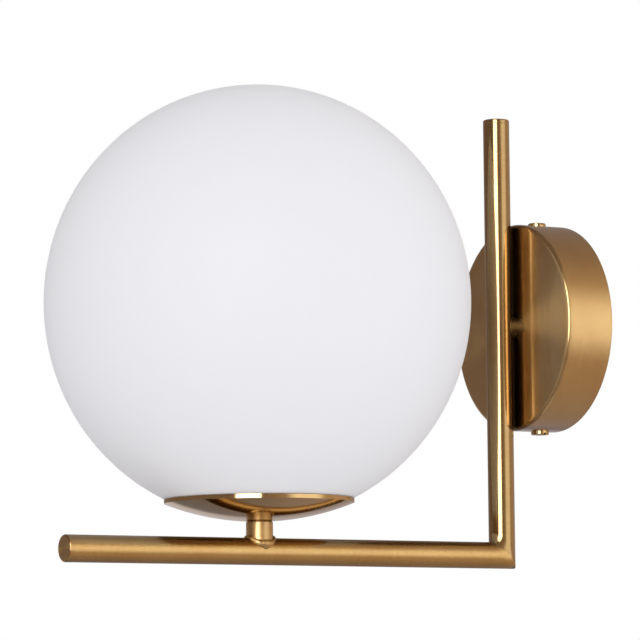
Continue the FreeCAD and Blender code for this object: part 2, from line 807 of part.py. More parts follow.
def spring_rivets():
    """Round-head rivets through the springs and the gallery."""
    shank_length = gallery_thickness + spring_thickness
    rivets = []
    for turn in spring_turns():
        foot = LAMP_FOOT + vec(rivet_radius_from_axis, 0, gallery_bottom)
        head = cheese_head(rivet_head_diameter, rivet_head_height, 0, foot + UP * shank_length, UP)
        tail = cheese_head(rivet_head_diameter, rivet_head_height, 0, foot, DOWN)
        rivet = rod(rivet_diameter / 2, foot, UP, shank_length).fuse([head, tail])
        rivet.rotate(LAMP_FOOT, UP, turn)
        rivets.append(rivet.removeSplitter())
    return rivets


# Lampholder

def holder_cap():
    """Lower half of the lampholder: a threaded neck and a flared cup for the wires."""
    foot = holder_bottom
    top = skirt_bottom
    neck = holder_neck_diameter / 2
    wall = holder_wall
    floor = foot + rod_depth_in_holder
    flare = foot + rod_depth_in_holder / 2
    outer_sweep = (holder_radius - holder_flare_inset, flare + holder_flare_rise)
    face = outline((rod_radius, foot), (neck, foot), (neck, flare),
                   (outer_sweep, (holder_radius, top)), (holder_radius - wall, top),
                   ((outer_sweep[0] - wall, outer_sweep[1] + wall), (neck - wall, floor)),
                   (rod_radius, floor))
    return turned(face, LAMP_FOOT)


def holder_skirt():
    """Upper half of the lampholder: a smooth skirt with a rolled-in mouth."""
    wall = holder_wall
    radius = holder_radius
    mouth = holder_mouth_diameter / 2
    flange_radius = radius - wall
    face = outline((flange_radius, skirt_bottom), (radius, skirt_bottom), (radius, skirt_top - wall),
                   (corner((radius - wall, skirt_top - wall), wall, 45), (radius - wall, skirt_top)),
                   (mouth, skirt_top), (mouth, skirt_top - wall), (radius - 2 * wall, skirt_top - wall),
                   (radius - 2 * wall, skirt_bottom + insulator_flange),
                   (flange_radius, skirt_bottom + insulator_flange))
    return turned(face, LAMP_FOOT)


def holder_insulator():
    """Porcelain block: a flange on the cap's rim, two wire holes and two terminal holes."""
    flange = rod(holder_radius - holder_wall, LAMP_FOOT + UP * skirt_bottom, UP, insulator_flange)
    body_radius = holder_radius - 2 * holder_wall - insulator_side_gap
    body = rod(body_radius, LAMP_FOOT + UP * skirt_bottom, UP, insulator_top - skirt_bottom)
    solid = flange.fuse(body).removeSplitter()
    hole = wire_diameter / 2 + wire_hole_clearance
    cuts = []
    for side in (-1, 1):
        at = LAMP_FOOT + vec(side * holder_wire_offset, 0, skirt_bottom)
        cuts.append(rod(hole, at, UP, terminal_hole_depth))
    return solid.cut(Part.makeCompound(cuts))


def holder_terminals():
    """Two screws under the porcelain block."""
    screws = []
    for side in (-1, 1):
        seat = LAMP_FOOT + vec(0, side * holder_terminal_offset, skirt_bottom)
        head = cheese_head(holder_terminal_diameter, holder_terminal_height, 0, seat, DOWN)
        top = seat + DOWN * holder_terminal_height
        screws.append(head.cut(screw_slot(top, DOWN, holder_terminal_diameter, slot_depth)))
    return screws


def thread_edges(crest, low, turns, inward):
    """Rounded thread waves up a cylinder, as outline steps from low to high or back."""
    root = crest - thread_depth
    waves = range(turns - 1, -1, -1) if inward else range(turns)
    steps = []
    for i in waves:
        foot = low + i * thread_pitch
        end = foot if inward else foot + thread_pitch
        steps.append(((crest, foot + thread_pitch / 2), (root, end)))
    return steps


def screw_shell():
    """Thin brass shell with a rolled thread that takes the lamp's cap."""
    inner_root = lamp_cap_diameter / 2 + lamp_cap_clearance
    crest = inner_root + thread_depth
    low = insulator_top
    turns = int((skirt_top - holder_wall - low) / thread_pitch)
    high = low + turns * thread_pitch
    root = crest - thread_depth
    face = outline((root, low), (root + screw_shell_wall, low),
                   *thread_edges(crest + screw_shell_wall, low, turns, False),
                   (root, high), *thread_edges(crest, low, turns, True))
    return turned(face, LAMP_FOOT)


def centre_contact():
    """Sprung contact under the lamp's tip."""
    radius = contact_diameter / 2
    foot = insulator_top
    top = lamp_bottom
    top_radius = contact_top_diameter / 2
    step = contact_height / 3
    middle = ((radius + top_radius) / 2 - step / 3, foot + 2 * step)
    face = outline((0, foot), (radius, foot), (radius, foot + step), (middle, (top_radius, top)), (0, top))
    return turned(face, LAMP_FOOT)


# Lamp

def lamp_tip():
    """Metal contact at the bottom of the lamp's cap."""
    edge = lamp_tip_height / 2
    radius = lamp_tip_diameter / 2
    face = outline((0, lamp_bottom), (radius - edge, lamp_bottom),
                   (corner((radius - edge, lamp_bottom + edge), edge, -45), (radius, lamp_bottom + edge)),
                   (radius, lamp_bottom + lamp_tip_height), (0, lamp_bottom + lamp_tip_height))
    return turned(face, LAMP_FOOT)


def lamp_insulator():
    """Dark ring between the tip and the threaded shell."""
    low = lamp_bottom + lamp_tip_height
    wide = lamp_cap_diameter / 2 - 2 * thread_depth
    face = outline((0, low), (lamp_tip_diameter / 2, low), (wide, lamp_cap_bottom), (0, lamp_cap_bottom))
    return turned(face, LAMP_FOOT)


def lamp_cap():
    """Threaded metal cap of the lamp."""
    crest = lamp_cap_diameter / 2
    root = crest - thread_depth
    face = outline((0, lamp_cap_bottom), (root, lamp_cap_bottom),
                   *thread_edges(crest, lamp_cap_bottom, thread_turns, False),
                   (root, lamp_cap_top), (0, lamp_cap_top))
    return turned(face, LAMP_FOOT)


def lamp_collar():
    """White housing that flares from the cap to the diffuser."""
    foot = lamp_cap_diameter / 2
    waist = lamp_waist_diameter / 2
    middle = ((foot + waist) / 2 - lamp_collar_hollow, (lamp_cap_top + lamp_collar_top) / 2)
    face = outline((0, lamp_cap_top), (foot, lamp_cap_top), (middle, (waist, lamp_collar_top)),
                   (0, lamp_collar_top))
    return turned(face, LAMP_FOOT)


def lamp_diffuser():
    """Frosted shell of the lamp, round at the top and drawn in at the collar."""
    radius = lamp_diameter / 2
    inner = radius - lamp_diffuser_wall
    centre = lamp_top - radius
    waist = lamp_waist_diameter / 2
    low = lamp_collar_top
    middle = (low + centre) / 2
    bulge = (radius - waist) / 4
    face = outline((waist, low), ((radius - bulge, middle), (radius, centre)),
                   (corner((0, centre), radius, 45), (0, centre + radius)), (0, centre + inner),
                   (corner((0, centre), inner, 45), (inner, centre)),
                   ((inner - bulge, middle), (waist - lamp_diffuser_wall, low)))
    return turned(face, LAMP_FOOT)


# Wires

def lamp_wire(side):
    """Wire from the terminal block through the canopy rod, post, arm and stem to the lampholder."""
    x = side * wire_spread
    pole = side * block_pole_pitch
    points = [
        vec(pole, block_pole_y, block_top_z - terminal_hole_depth),
        vec(pole, block_pole_y, block_top_z / 2),
        vec(x, block_pole_y + canopy_rod_end / 2, 0),
        vec(x, post_y, 0),
        vec(x, post_y, arm_z),
        vec(x, lamp_y, arm_z),
        vec(x, lamp_y, holder_bottom + rod_depth_in_holder),
        vec(side * holder_wire_offset, lamp_y, skirt_bottom - wire_bend_free / 2),
        vec(side * holder_wire_offset, lamp_y, skirt_bottom + terminal_hole_depth),
    ]
    bends = [wire_bend_free / 2, wire_bend_free / 2, wire_bend_at_canopy, wire_bend_at_elbow,
             wire_bend_at_stem, wire_bend_free, wire_bend_free / 2]
    return wire_run(wire_diameter / 2, points, bends)


def earth_lead():
    """Short lead from the block's middle pole to the earth tag on the canopy rod."""
    drop = block_top_z + wire_diameter
    points = [
        vec(0, block_pole_y, block_top_z - terminal_hole_depth),
        vec(0, block_pole_y, drop),
        vec(0, -tag_face, drop),
    ]
    return wire_run(wire_diameter / 2, points, [wire_bend_free / 2])


nodes = {
    "wall_bracket": wall_bracket,
    "canopy": canopy,
    "canopy_side_screws": side_screws,
    "canopy_rod": canopy_rod,
    "canopy_washer": lambda: rod_ring(canopy_washer_diameter, washer_face, canopy_washer_thickness),
    "lock_washer": lock_washer,
    "earth_tag": earth_tag,
    "canopy_nut": lambda: rod_nut(vec(0, -nut_face, 0), OUTWARD),
    "rod_bush": rod_bush,
    "terminal_block": terminal_block,
    "terminal_screws": terminal_screws,
    "block_screw": block_screw,
    "earth_screw": earth_screw,
    "earth_washer": earth_washer,
    "post_saddle": post_saddle,
    "post": post,
    "post_cap": post_cap,
    "arm": arm,
    "arm_cap": arm_cap,
    "stem": stem,
    "dish": dish,
    "stem_rod": stem_rod,
    "dish_nut": dish_nut,
    "gasket": gasket,
    "spring_gallery": spring_gallery,
    "glass_springs": glass_springs,
    "spring_rivets": spring_rivets,
    "holder_cap": holder_cap,
    "holder_skirt": holder_skirt,
    "holder_insulator": holder_insulator,
    "holder_terminals": holder_terminals,
    "screw_shell": screw_shell,
    "centre_contact": centre_contact,
    "live_wire": lambda: lamp_wire(-1),
    "neutral_wire": lambda: lamp_wire(1),
    "earth_lead": earth_lead,
    "globe": globe,
    "lamp_tip": lamp_tip,
    "lamp_insulator": lamp_insulator,
    "lamp_cap": lamp_cap,
    "lamp_collar": lamp_collar,
    "lamp_diffuser": lamp_diffuser,
}


def main():
    os.makedirs("parts", exist_ok=True)
    for name, make in nodes.items():
        shape = make()
        if isinstance(shape, list):
            shape = Part.makeCompound(shape)
        shape.exportStep("parts/" + name + ".step")
        print(name, len(shape.Solids), "solids, valid", shape.isValid(),
              "volume %.1f mm3" % shape.Volume)


main()
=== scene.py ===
import bmesh
import bpy
import math
from mathutils import Matrix, Vector


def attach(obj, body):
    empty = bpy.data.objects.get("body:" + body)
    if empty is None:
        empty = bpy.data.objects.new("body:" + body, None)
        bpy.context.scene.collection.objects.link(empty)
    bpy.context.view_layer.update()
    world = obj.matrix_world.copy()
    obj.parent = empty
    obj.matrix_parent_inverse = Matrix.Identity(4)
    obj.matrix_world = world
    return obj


# Looks for the globe wall sconce, in metres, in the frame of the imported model: the wall is y = 0,
# the lamp reaches out along -Y and +Z is up.

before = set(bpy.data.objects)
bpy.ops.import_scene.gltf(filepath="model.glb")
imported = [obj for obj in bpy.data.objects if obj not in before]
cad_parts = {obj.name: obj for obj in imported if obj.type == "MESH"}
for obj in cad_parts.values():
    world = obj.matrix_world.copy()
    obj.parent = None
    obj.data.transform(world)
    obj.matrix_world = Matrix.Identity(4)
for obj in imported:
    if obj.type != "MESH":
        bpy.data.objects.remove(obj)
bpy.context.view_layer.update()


# Places and sizes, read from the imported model

def box_of(node):
    """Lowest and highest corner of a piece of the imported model."""
    points = [vertex.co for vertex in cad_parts[node].data.vertices]
    low = Vector([min(point[i] for point in points) for i in range(3)])
    high = Vector([max(point[i] for point in points) for i in range(3)])
    return low, high


def centre_of(node):
    """Middle of a piece's box."""
    low, high = box_of(node)
    return (low + high) / 2


CANOPY_AXIS = (0.0, 0.0, 0.0)
CANOPY_RADIUS = box_of("canopy")[1].x
POST_Y = centre_of("post_cap").y
POST_AXIS = (0.0, POST_Y, 0.0)
ARM_Z = centre_of("arm_cap").z
ARM_AXIS = (0.0, 0.0, ARM_Z)
LAMP_Y = centre_of("dish").y
LAMP_AXIS = (0.0, LAMP_Y, 0.0)
RIM_SCREW_AXIS = (0.0, centre_of("canopy_side_screws").y, 0.0)
TUBE_RADIUS = box_of("arm_cap")[1].x
ELBOW = (0.0, POST_Y, ARM_Z)
MITRE_NORMAL = (0.0, math.sqrt(0.5), math.sqrt(0.5))


# Node helpers

class Graph:
    """Builds a shader tree. A value is a number, a tuple or the output of another node."""

    def __init__(self, tree):
        self.tree = tree
        tree.nodes.clear()

    def feed(self, socket, value):
        if isinstance(value, bpy.types.NodeSocket):
            self.tree.links.new(value, socket)
        else:
            socket.default_value = value

    def node(self, kind, inputs=(), **settings):
        made = self.tree.nodes.new(kind)
        for name, value in settings.items():
            setattr(made, name, value)
        for name, value in dict(inputs).items():
            self.feed(made.inputs[name], value)
        return made

    def math(self, operation, *values):
        made = self.node("ShaderNodeMath", operation=operation)
        for socket, value in zip(made.inputs, values):
            self.feed(socket, value)
        return made.outputs[0]

    def times(self, a, b):
        return self.math("MULTIPLY", a, b)

    def vector(self, operation, *values):
        made = self.node("ShaderNodeVectorMath", operation=operation)
        for socket, value in zip(made.inputs, values):
            self.feed(socket, value)
        return made.outputs["Value" if operation in ("DOT_PRODUCT", "LENGTH") else "Vector"]

    def pack(self, x, y, z):
        return self.node("ShaderNodeCombineXYZ", {"X": x, "Y": y, "Z": z}).outputs[0]

    def split(self, vector):
        return self.node("ShaderNodeSeparateXYZ", {"Vector": vector}).outputs

    def place(self):
        """Position on the piece in the frame's metres; it stays with the piece when it moves."""
        return self.node("ShaderNodeTexCoord").outputs["Object"]

    def normal(self):
        return self.node("ShaderNodeNewGeometry").outputs["Normal"]

    def noise(self, vector, scale, detail=2.0, roughness=0.5):
        return self.node("ShaderNodeTexNoise", {"Vector": vector, "Scale": scale, "Detail": detail,
                                                "Roughness": roughness}).outputs["Fac"]

    def remap(self, value, low, high, to_low, to_high, smooth=False):
        return self.node("ShaderNodeMapRange",
                         {"Value": value, "From Min": low, "From Max": high, "To Min": to_low,
                          "To Max": to_high},
                         interpolation_type="SMOOTHSTEP" if smooth else "LINEAR").outputs[0]

    def mix(self, factor, a, b):
        made = self.node("ShaderNodeMix", data_type="RGBA")
        for index, value in ((0, factor), (6, a), (7, b)):
            if isinstance(value, tuple) and len(value) == 3:
                value = (*value, 1.0)
            self.feed(made.inputs[index], value)
        return made.outputs[2]

    def bump(self, height, distance, **more):
        return self.node("ShaderNodeBump", {"Height": height, "Distance": distance,
                                            "Strength": 1.0, **more}).outputs[0]

    def principled(self, inputs):
        return self.node("ShaderNodeBsdfPrincipled", inputs).outputs[0]

    def mix_shader(self, factor, a, b):
        return self.node("ShaderNodeMixShader", {0: factor, 1: a, 2: b}).outputs[0]

    def finish(self, surface):
        self.node("ShaderNodeOutputMaterial", {"Surface": surface})


def new_material(name):
    material = bpy.data.materials.new(name)
    material.use_nodes = True
    return material, Graph(material.node_tree)


def coat(material, *nodes):
    for name in nodes:
        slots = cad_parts[name].data.materials
        slots.clear()
        slots.append(material)


def turned(g, axis, centre):
    """Radius, height along the axis and angle about it, for a piece turned about a line."""
    x, y, z = g.split(g.vector("SUBTRACT", g.place(), centre))
    a, b, height = {"X": (y, z, x), "Y": (x, z, y), "Z": (x, y, z)}[axis]
    radius = g.math("SQRT", g.math("ADD", g.times(a, a), g.times(b, b)))
    return radius, height, g.math("ARCTAN2", a, b)


def brush_lines(g, form, per_metre, per_radian, detail, roughness=0.5):
    """Lines that run round a turned form: they change fast along its axis and slowly round it."""
    radius, height, angle = form
    across = g.pack(g.times(radius, per_metre), g.times(height, per_metre), g.times(angle, per_radian))
    return g.noise(across, 1.0, detail, roughness)


# Brass

BRASS = (0.505, 0.325, 0.122)
BRASS_PALE = (0.560, 0.380, 0.165)
BRASS_WARM = (0.455, 0.275, 0.098)
# The stem below the braze bead: the brazing's tint and painted shade.
BRASS_HEATED_AND_SHADED = (0.360, 0.225, 0.085)
# Colour of painted shade, in the gap behind the post and on the arm's upper and lower sides.
PAINTED_SHADE_TONE = (0.105, 0.060, 0.022)
POLISHED_DARK = (0.515, 0.350, 0.165)
POLISHED_LIGHT = (0.560, 0.390, 0.195)
PLAIN_DARK = (0.60, 0.42, 0.17)
PLAIN_LIGHT = (0.78, 0.60, 0.30)
EDGE_WEAR = 0.00045
# Half width of the brazed seam at the mitre, and how far from it the tubes run into one another.
SEAM = 0.0006
SEAM_BLEND = 0.0042
# How far above the arm's axis the stem has the brazing's tint and painted shade, and how softly they
# end.
HEATED_AND_SHADED_HEIGHT = 0.0030
HEATED_AND_SHADED_EDGE = 0.0006
# Half widths of the canopy's painted shade behind the post: where it begins to fade and where it is
# gone.
PAINTED_SHADE_FULL = 0.0080
PAINTED_SHADE_GONE = 0.0140
# How far behind the post's axis the post's own painted shade begins, and where it is full.
PAINTED_SHADE_BEGINS = 0.001
PAINTED_SHADE_DEEP = 0.005
# That painted shade fades from this far inside the canopy's edge to as far outside it.
PAINTED_SHADE_MARGIN = 0.006
# The hollow rods have an M10 x 1 thread.
THREAD_PITCH = 0.001


def soften_mitre(g, edge, flat, worn):
    """The mitre is brazed and polished over, so the two tubes run softly into one another."""
    from_elbow = g.vector("SUBTRACT", g.place(), ELBOW)
    across = g.math("ABSOLUTE", g.vector("DOT_PRODUCT", from_elbow, MITRE_NORMAL))
    off_seam = g.remap(across, SEAM, 2 * SEAM, 0.0, 1.0)
    edge = g.mix(off_seam, flat, edge)
    lean = g.times(g.vector("DOT_PRODUCT", edge, MITRE_NORMAL),
                   g.remap(across, 0.0, SEAM_BLEND, 1.0, 0.0, True))
    edge = g.vector("SUBTRACT", edge, g.vector("MULTIPLY", MITRE_NORMAL, g.pack(lean, lean, lean)))
    return g.vector("NORMALIZE", edge), g.times(worn, off_seam)


def satin_brass(name, axis, centre, rough, brushing, sheen, spread=0.50, wave=0.0, shade=1.0,
                lacquer=1.0, gloss=0.07, heated_and_shaded_below=None, painted_shade_mask=None, mitred=False):
    """Brass, finely brushed round its axis, under a clear lacquer, with a faint patina.

    The share of its gloss called sheen is spread across the brush lines. The heights of the brush
    lines (brushing) and of a slow unevenness (wave) are in millimetres. A function may give a mask
    of painted shade: where it is 1, the metal has the painted colour of shade.
    """
    material, g = new_material(name)
    form = turned(g, axis, centre)
    lines = brush_lines(g, form, per_metre=5200.0, per_radian=3.0, detail=2.0, roughness=0.6)
    bands = brush_lines(g, form, per_metre=900.0, per_radian=1.4, detail=1.0)
    patina = g.noise(g.place(), 34.0, 3.0, 0.6)
    tone = g.mix(g.remap(patina, 0.35, 0.68, 0.0, 1.0), BRASS_WARM, BRASS)
    tone = g.mix(g.remap(bands, 0.3, 0.7, 0.0, 0.35), tone, BRASS_PALE)
    tone = g.vector("MULTIPLY", tone, (shade, shade, shade))
    # The lacquer is worn thin on edges, which shows the paler metal.
    edge = g.node("ShaderNodeBevel", {"Radius": EDGE_WEAR}, samples=4).outputs[0]
    flat = g.normal()
    worn = g.remap(g.vector("DOT_PRODUCT", edge, flat), 0.80, 0.995, 0.75, 0.0)
    if mitred:
        edge, worn = soften_mitre(g, edge, flat, worn)
    tone = g.mix(worn, tone, BRASS_PALE)
    # Painted shade, where a mask of it is given.
    if painted_shade_mask:
        tone = g.mix(painted_shade_mask(g), tone, PAINTED_SHADE_TONE)
    if heated_and_shaded_below:
        # Darker under the bead: a tint from the torch, and painted shade.
        heated_and_shaded = g.remap(g.split(g.place())[2], heated_and_shaded_below - HEATED_AND_SHADED_EDGE,
                         heated_and_shaded_below + HEATED_AND_SHADED_EDGE, 1.0, 0.0, True)
        tone = g.mix(g.times(heated_and_shaded, 0.75), tone, BRASS_HEATED_AND_SHADED)
    relief = g.math("ADD", g.times(lines, brushing), g.times(g.noise(g.place(), 22.0, 1.0), wave))
    roughness = g.math("ADD", g.times(g.math("SUBTRACT", lines, 0.5), 0.05),
                       g.remap(patina, 0.3, 0.7, rough - 0.015, rough + 0.03))
    shared = {"Base Color": tone, "Metallic": 1.0, "Normal": g.bump(relief, 0.001, Normal=edge),
              "Coat Weight": lacquer, "Coat Roughness": gloss, "Coat IOR": 1.5, "Coat Normal": edge}
    fine = g.principled({"Roughness": roughness, **shared})
    tangent = g.node("ShaderNodeTangent", direction_type="RADIAL", axis=axis).outputs[0]
    broad = g.remap(lines, 0.3, 0.7, spread - 0.05, spread + 0.05)
    brushed = g.principled({"Roughness": broad, "Anisotropic": 1.0, "Anisotropic Rotation": 0.25,
                            "Tangent": tangent, **shared})
    g.finish(g.mix_shader(sheen, fine, brushed))
    return material


def painted_shade_behind_post(g):
    """Painted shade on the canopy in the gap behind the post."""
    side = g.math("ABSOLUTE", g.split(g.place())[0])
    return g.remap(side, PAINTED_SHADE_FULL, PAINTED_SHADE_GONE, 0.66, 0.0, True)


def painted_shade_towards_canopy(g):
    """Painted shade on the side of the post that faces the canopy."""
    position = g.split(g.place())
    back = g.remap(position[1], POST_Y + PAINTED_SHADE_BEGINS, POST_Y + PAINTED_SHADE_DEEP, 0.0, 0.62, True)
    level = g.remap(g.math("ABSOLUTE", position[2]), CANOPY_RADIUS - PAINTED_SHADE_MARGIN,
                    CANOPY_RADIUS + PAINTED_SHADE_MARGIN, 1.0, 0.0, True)
    return g.times(back, level)


def painted_shade_above_and_below(g):
    """Painted shade on the arm's upper side, and a little on its lower side."""
    up = g.split(g.normal())[2]
    return g.math("MAXIMUM", g.remap(up, 0.28, 0.80, 0.0, 0.58, True),
                  g.remap(up, -0.95, -0.40, 0.36, 0.0, True))


def polished_brass(name, axis, centre):
    """Mirror polish with faint swirls left by the buffing wheel."""
    material, g = new_material(name)
    swirl = brush_lines(g, turned(g, axis, centre), per_metre=1400.0, per_radian=2.0, detail=2.0)
    film = g.noise(g.place(), 60.0, 3.0, 0.6)
    roughness = g.math("ADD", g.remap(film, 0.3, 0.7, 0.055, 0.095),
                       g.times(g.math("SUBTRACT", swirl, 0.5), 0.03))
    g.finish(g.principled({
        "Base Color": g.mix(g.remap(film, 0.35, 0.7, 0.0, 1.0), POLISHED_DARK, POLISHED_LIGHT),
        "Metallic": 1.0, "Roughness": roughness, "Normal": g.bump(swirl, 0.000004)}))
    return material


def plain_brass(name, axis=None, centre=None):
    """Turned brass without lacquer; an axis adds a cut thread round it."""
    material, g = new_material(name)
    film = g.noise(g.place(), 240.0, 4.0, 0.65)
    relief = g.noise(g.place(), 1500.0, 3.0)
    depth = 0.00004
    if axis:
        height, angle = turned(g, axis, centre)[1:]
        turn = g.math("ADD", g.times(height, 2 * math.pi / THREAD_PITCH), angle)
        relief = g.math("ADD", g.times(g.math("SINE", turn), 0.5), g.times(relief, 0.1))
        depth = 0.0003
    g.finish(g.principled({
        "Base Color": g.mix(g.remap(film, 0.35, 0.7, 0.0, 1.0), PLAIN_DARK, PLAIN_LIGHT),
        "Metallic": 1.0, "Roughness": g.remap(film, 0.3, 0.7, 0.22, 0.38),
        "Normal": g.bump(relief, depth)}))
    return material


# Steel

def plated_steel(name, dark, light, rough, along):
    """Plated or rolled steel, with rolling marks that run along one axis."""
    material, g = new_material(name)
    stretch = tuple(60.0 if axis == along else 2400.0 for axis in "XYZ")
    marks = g.noise(g.vector("MULTIPLY", g.place(), stretch), 1.0, 3.0, 0.6)
    cloud = g.noise(g.place(), 150.0, 4.0, 0.6)
    g.finish(g.principled({
        "Base Color": g.mix(g.remap(cloud, 0.3, 0.7, 0.0, 1.0), dark, light), "Metallic": 1.0,
        "Roughness": g.math("ADD", g.times(marks, 0.16), rough),
        "Normal": g.bump(marks, 0.00003)}))
    return material


# Glass, plastics and ceramics

def opal_glass():
    """Blown opal glass with a satin etched skin."""
    material, g = new_material("opal_glass")
    cloud = g.noise(g.place(), 9.0, 2.0)
    skin = g.noise(g.place(), 900.0, 3.0, 0.6)
    g.finish(g.principled({
        "Base Color": g.mix(cloud, (0.905, 0.900, 0.935), (0.925, 0.920, 0.950)),
        "Roughness": g.remap(skin, 0.3, 0.7, 0.54, 0.66), "IOR": 1.45,
        "Specular IOR Level": 0.35, "Subsurface Weight": 0.25,
        "Subsurface Radius": (0.010, 0.010, 0.010), "Subsurface Scale": 1.0,
        "Normal": g.bump(skin, 0.00002)}))
    return material


def moulded(name, dark, light, rough, more=()):
    """Moulded plastic or ceramic: a clouded colour and a fine surface grain."""
    material, g = new_material(name)
    cloud = g.noise(g.place(), 120.0, 3.0, 0.6)
    grain = g.noise(g.place(), 2600.0, 2.0)
    g.finish(g.principled({
        "Base Color": g.mix(g.remap(cloud, 0.3, 0.7, 0.0, 1.0), dark, light),
        "Roughness": g.remap(grain, 0.3, 0.7, rough - 0.05, rough + 0.05),
        "Normal": g.bump(grain, 0.00002), **dict(more)}))
    return material


STRIPE_HALF_WIDTH = 0.00045


def wire_cover(name, base, stripe=None):
    """Soft wire insulation; the second colour makes the earth wire's stripe."""
    material, g = new_material(name)
    scuff = g.noise(g.place(), 500.0, 3.0)
    tone = g.mix(g.remap(scuff, 0.3, 0.7, 0.0, 0.5), base, tuple(1.25 * c for c in base))
    if stripe:
        side = g.math("ABSOLUTE", g.split(g.place())[0])
        tone = g.mix(g.math("LESS_THAN", side, STRIPE_HALF_WIDTH), tone, stripe)
    g.finish(g.principled({
        "Base Color": tone, "Roughness": g.remap(scuff, 0.3, 0.7, 0.34, 0.50),
        "Normal": g.bump(scuff, 0.00003)}))
    return material


# What each piece is made of

coat(satin_brass("canopy_brass", "Y", CANOPY_AXIS, rough=0.20, brushing=0.003, sheen=0.28,
                 spread=0.52, wave=0.05, painted_shade_mask=painted_shade_behind_post), "canopy")
coat(satin_brass("post_brass", "Z", POST_AXIS, rough=0.10, brushing=0.0015, sheen=0.04,
                 spread=0.40, shade=0.74, lacquer=0.8, painted_shade_mask=painted_shade_towards_canopy, mitred=True),
     "post", "post_cap")
coat(satin_brass("arm_brass", "Y", ARM_AXIS, rough=0.22, brushing=0.002, sheen=0.15,
                 shade=0.95, lacquer=0.35, painted_shade_mask=painted_shade_above_and_below, mitred=True),
     "arm", "arm_cap")
coat(satin_brass("stem_brass", "Z", LAMP_AXIS, rough=0.40, brushing=0.003, sheen=0.25,
                 shade=1.15, gloss=0.20, heated_and_shaded_below=ARM_Z + HEATED_AND_SHADED_HEIGHT), "stem")
# The saddle's tone is cut to 0.30: a dark spacer, and painted shade of the gap behind the post.
coat(satin_brass("saddle_brass", "Y", CANOPY_AXIS, rough=0.42, brushing=0.002, sheen=0.2,
                 shade=0.30, lacquer=0.0), "post_saddle")
coat(polished_brass("dish_brass", "Z", LAMP_AXIS), "dish")
coat(polished_brass("screw_brass", "Z", RIM_SCREW_AXIS), "canopy_side_screws")
coat(plain_brass("canopy_rod_brass", "Y", CANOPY_AXIS), "canopy_rod")
coat(plain_brass("stem_rod_brass", "Z", LAMP_AXIS), "stem_rod")
coat(plain_brass("plain_brass"), "canopy_nut", "earth_tag", "dish_nut", "terminal_screws",
     "screw_shell", "centre_contact", "holder_terminals")
coat(plated_steel("zinc_steel", (0.54, 0.55, 0.58), (0.68, 0.68, 0.69), 0.24, "Z"),
     "wall_bracket", "canopy_washer", "lock_washer", "block_screw", "earth_screw", "earth_washer")
coat(plated_steel("spring_steel", (0.60, 0.60, 0.61), (0.72, 0.72, 0.72), 0.16, "X"),
     "spring_gallery", "glass_springs", "spring_rivets")
coat(plated_steel("lamp_metal", (0.66, 0.65, 0.63), (0.78, 0.77, 0.75), 0.18, "X"),
     "lamp_cap", "lamp_tip")
coat(opal_glass(), "globe")
coat(moulded("clear_silicone", (0.74, 0.73, 0.70), (0.84, 0.83, 0.80), 0.42,
             {"Transmission Weight": 0.5, "IOR": 1.41}), "gasket")
coat(moulded("white_plastic", (0.80, 0.80, 0.78), (0.88, 0.88, 0.86), 0.42),
     "terminal_block", "rod_bush", "lamp_collar")
coat(moulded("black_plastic", (0.018, 0.017, 0.016), (0.035, 0.033, 0.031), 0.28),
     "holder_cap", "holder_skirt")
coat(moulded("porcelain", (0.82, 0.80, 0.74), (0.90, 0.89, 0.85), 0.14), "holder_insulator")
coat(moulded("lamp_black", (0.012, 0.012, 0.014), (0.030, 0.030, 0.034), 0.12), "lamp_insulator")
coat(moulded("lamp_frosted", (0.86, 0.85, 0.81), (0.93, 0.92, 0.89), 0.36,
             {"Subsurface Weight": 0.3, "Subsurface Radius": (1.0, 1.0, 1.0),
              "Subsurface Scale": 0.004}), "lamp_diffuser")
coat(wire_cover("brown_wire", (0.125, 0.045, 0.018)), "live_wire")
coat(wire_cover("blue_wire", (0.020, 0.115, 0.420)), "neutral_wire")
coat(wire_cover("earth_wire", (0.055, 0.250, 0.050), (0.760, 0.620, 0.040)), "earth_lead")


# The brazed joint

BEAD_RADIUS = 0.00112
BEAD_RINGS = 120
BEAD_SIDES = 14
# How far the bead follows the foot down the arm's sides, as shares of the tube's radius sideways:
# all the way to the first, and then ever less, by no more than the second.
BEAD_DIP = 0.7
BEAD_SAG = 0.14


def bead_section(t):
    """Centre and radius of the bead at an angle round the stem's foot."""
    reach = TUBE_RADIUS + 0.1 * BEAD_RADIUS
    # The foot lies on the round arm, so it dips at both sides of it. The metal pools there, and
    # bridges the lowest part.
    dip = abs(math.cos(t))
    if dip > BEAD_DIP:
        dip = BEAD_DIP + BEAD_SAG * (1.0 - math.exp((BEAD_DIP - dip) / BEAD_SAG))
    rise = TUBE_RADIUS * math.sqrt(1.0 - dip ** 2)
    # Three waves make it uneven.
    lump = 1.0 + 0.08 * math.sin(5 * t + 0.7) + 0.05 * math.sin(11 * t + 2.1)
    lump += 0.02 * math.sin(23 * t)
    radius = BEAD_RADIUS * lump * (1.0 + 0.30 * math.cos(t) ** 2)
    return Vector((reach * math.cos(t), LAMP_Y + reach * math.sin(t), ARM_Z + rise)), radius


